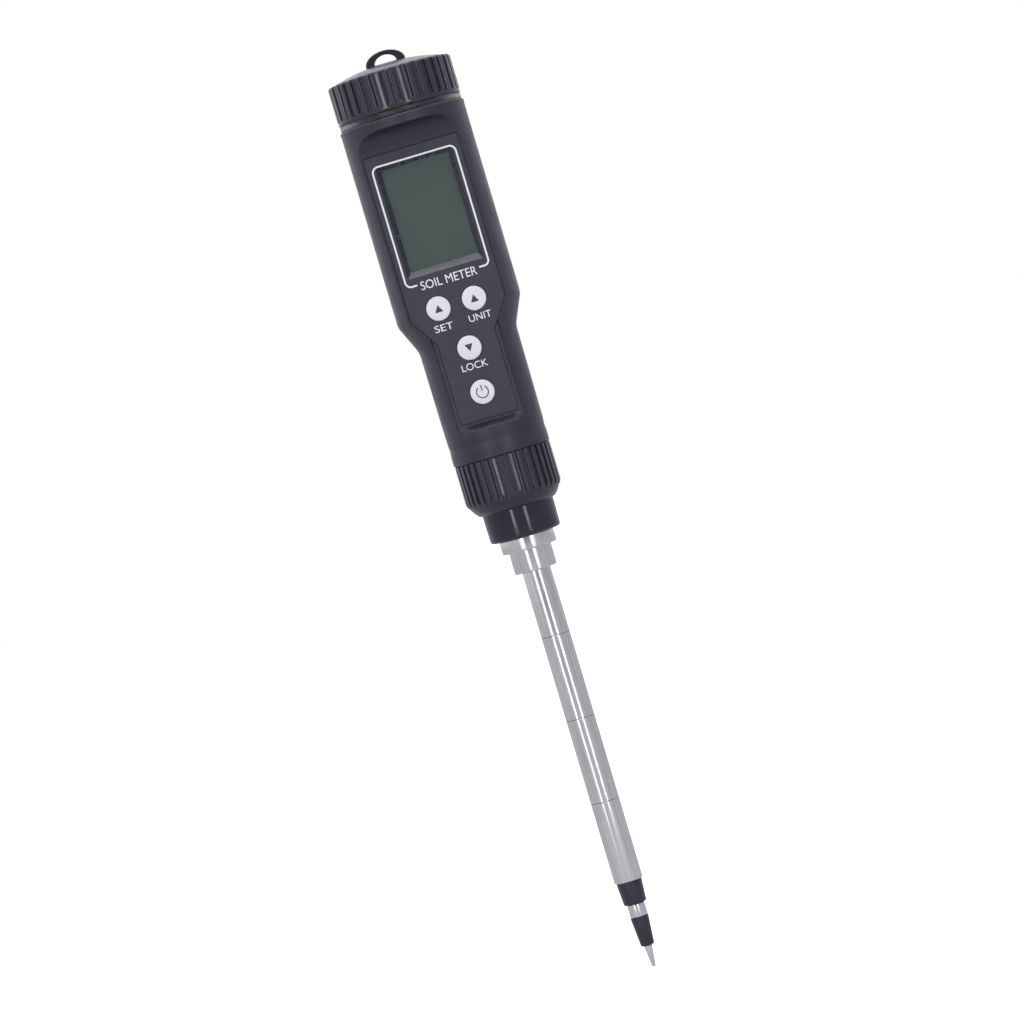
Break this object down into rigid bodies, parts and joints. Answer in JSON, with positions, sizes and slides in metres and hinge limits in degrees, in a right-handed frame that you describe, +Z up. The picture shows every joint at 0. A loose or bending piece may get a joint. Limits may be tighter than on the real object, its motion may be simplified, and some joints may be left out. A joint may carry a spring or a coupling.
{
  "type": "soil moisture meter",
  "caption": "Pen-shaped meter with a recessed display and round keys on a black handle, above a slim steel soil probe with a ring and a pointed electrode.",
  "frame": {"origin": "the blunt point of the tip electrode, where the probe enters the soil", "axes": "+Z up the axis of the meter towards the battery cap, -Y out of the display, +X to the right for a reader of the display"},
  "size_m": [0.0368, 0.0368, 0.2748],
  "materials": {
    "housing_plastic": "fine satin texture",
    "grip_plastic": "semi-gloss moulded",
    "gloss_black_plastic": "polished",
    "label_film": "fine matte printed film",
    "key_plastic": "satin with printed symbols",
    "clear_silicone": "translucent milky",
    "probe_steel": "fine turned",
    "nickel_plate": "bright nickel",
    "pin_brass": "gold flash",
    "clear_pane": "clear",
    "display": "unlit liquid crystal",
    "white_plastic": "plain moulded",
    "board_laminate": "solder mask",
    "component_plastic": "moulded epoxy",
    "black_rubber": "smooth",
    "insulator_plastic": "machined satin",
    "lead_insulation": "extruded"
  },
  "bodies": {
    "handle": {"housing": "housing_plastic", "faceplate_label": "label_film", "push_switch_cal": "component_plastic", "push_switch_unit": "component_plastic", "push_switch_hold": "component_plastic", "push_switch_power": "component_plastic", "probe_socket": "gloss_black_plastic", "window_pane": "clear_pane", "display_glass": "display", "light_guide": "white_plastic", "connector_strip": "black_rubber", "display_frame": "white_plastic", "display_screw_1": "nickel_plate", "display_screw_2": "nickel_plate", "display_screw_3": "nickel_plate", "display_screw_4": "nickel_plate", "circuit_board": "board_laminate", "processor_chip": "component_plastic", "amplifier_chip": "component_plastic", "clock_crystal": "nickel_plate", "socket_ribbon": "white_plastic", "battery_carrier": "housing_plastic", "battery_terminal_1": "nickel_plate", "battery_terminal_2": "nickel_plate", "battery_spring_1": "nickel_plate", "battery_spring_2": "nickel_plate", "button_cell_1": "nickel_plate", "button_cell_2": "nickel_plate", "button_cell_3": "nickel_plate", "button_cell_4": "nickel_plate"},
    "cap_seal": {"cap_seal_ring": "clear_silicone"},
    "cap": {"battery_cap": "grip_plastic", "cap_contact_plate": "nickel_plate", "lanyard_loop": "gloss_black_plastic"},
    "probe": {"probe_sleeve": "gloss_black_plastic", "probe_plug": "gloss_black_plastic", "contact_pin_1": "pin_brass", "contact_pin_2": "pin_brass", "contact_pin_3": "pin_brass", "contact_pin_4": "pin_brass", "face_seal_ring": "black_rubber", "steel_flange": "probe_steel", "probe_tube": "probe_steel", "upper_insulator": "insulator_plastic", "ring_electrode": "probe_steel", "lower_insulator": "insulator_plastic", "tip_electrode": "probe_steel", "thermistor": "component_plastic", "thermistor_lead_1": "lead_insulation", "thermistor_lead_2": "lead_insulation", "ring_lead": "lead_insulation", "tip_lead": "lead_insulation"},
    "collar": {"collar_nut": "grip_plastic"},
    "cal_key": {"key_cal": "key_plastic"},
    "unit_key": {"key_unit": "key_plastic"},
    "hold_key": {"key_hold": "key_plastic"},
    "power_key": {"key_power": "key_plastic"}
  },
  "joints": [
    {"name": "cap_rise", "type": "slide", "parent": "handle", "child": "cap_seal", "axis": [0, 0, 1], "range_m": [0, 0.00875]},
    {"name": "cap_turn", "type": "hinge", "parent": "cap_seal", "child": "cap", "pos_m": [0, 0, 0.2571], "axis": [0, 0, 1], "range_deg": [0, 1260]},
    {"name": "probe_release", "type": "slide", "parent": "handle", "child": "probe", "axis": [0, 0, -1], "range_m": [0, 0.0125]},
    {"name": "collar_turn", "type": "hinge", "parent": "probe", "child": "collar", "pos_m": [0, 0, 0.1385], "axis": [0, 0, -1], "range_deg": [0, 1800]},
    {"name": "cal_press", "type": "slide", "parent": "handle", "child": "cal_key", "axis": [0, 1, 0], "range_m": [0, 0.0003], "stiffness_N_per_m": 1200},
    {"name": "unit_press", "type": "slide", "parent": "handle", "child": "unit_key", "axis": [0, 1, 0], "range_m": [0, 0.0003], "stiffness_N_per_m": 1200},
    {"name": "hold_press", "type": "slide", "parent": "handle", "child": "hold_key", "axis": [0, 1, 0], "range_m": [0, 0.0003], "stiffness_N_per_m": 1200},
    {"name": "power_press", "type": "slide", "parent": "handle", "child": "power_key", "axis": [0, 1, 0], "range_m": [0, 0.0003], "stiffness_N_per_m": 1200}
  ],
  "couplings": [
    {"joint": "cap_turn", "follows": "cap_rise", "rad_per_m": 2513.3},
    {"joint": "collar_turn", "follows": "probe_release", "rad_per_m": 2513.3}
  ]
}
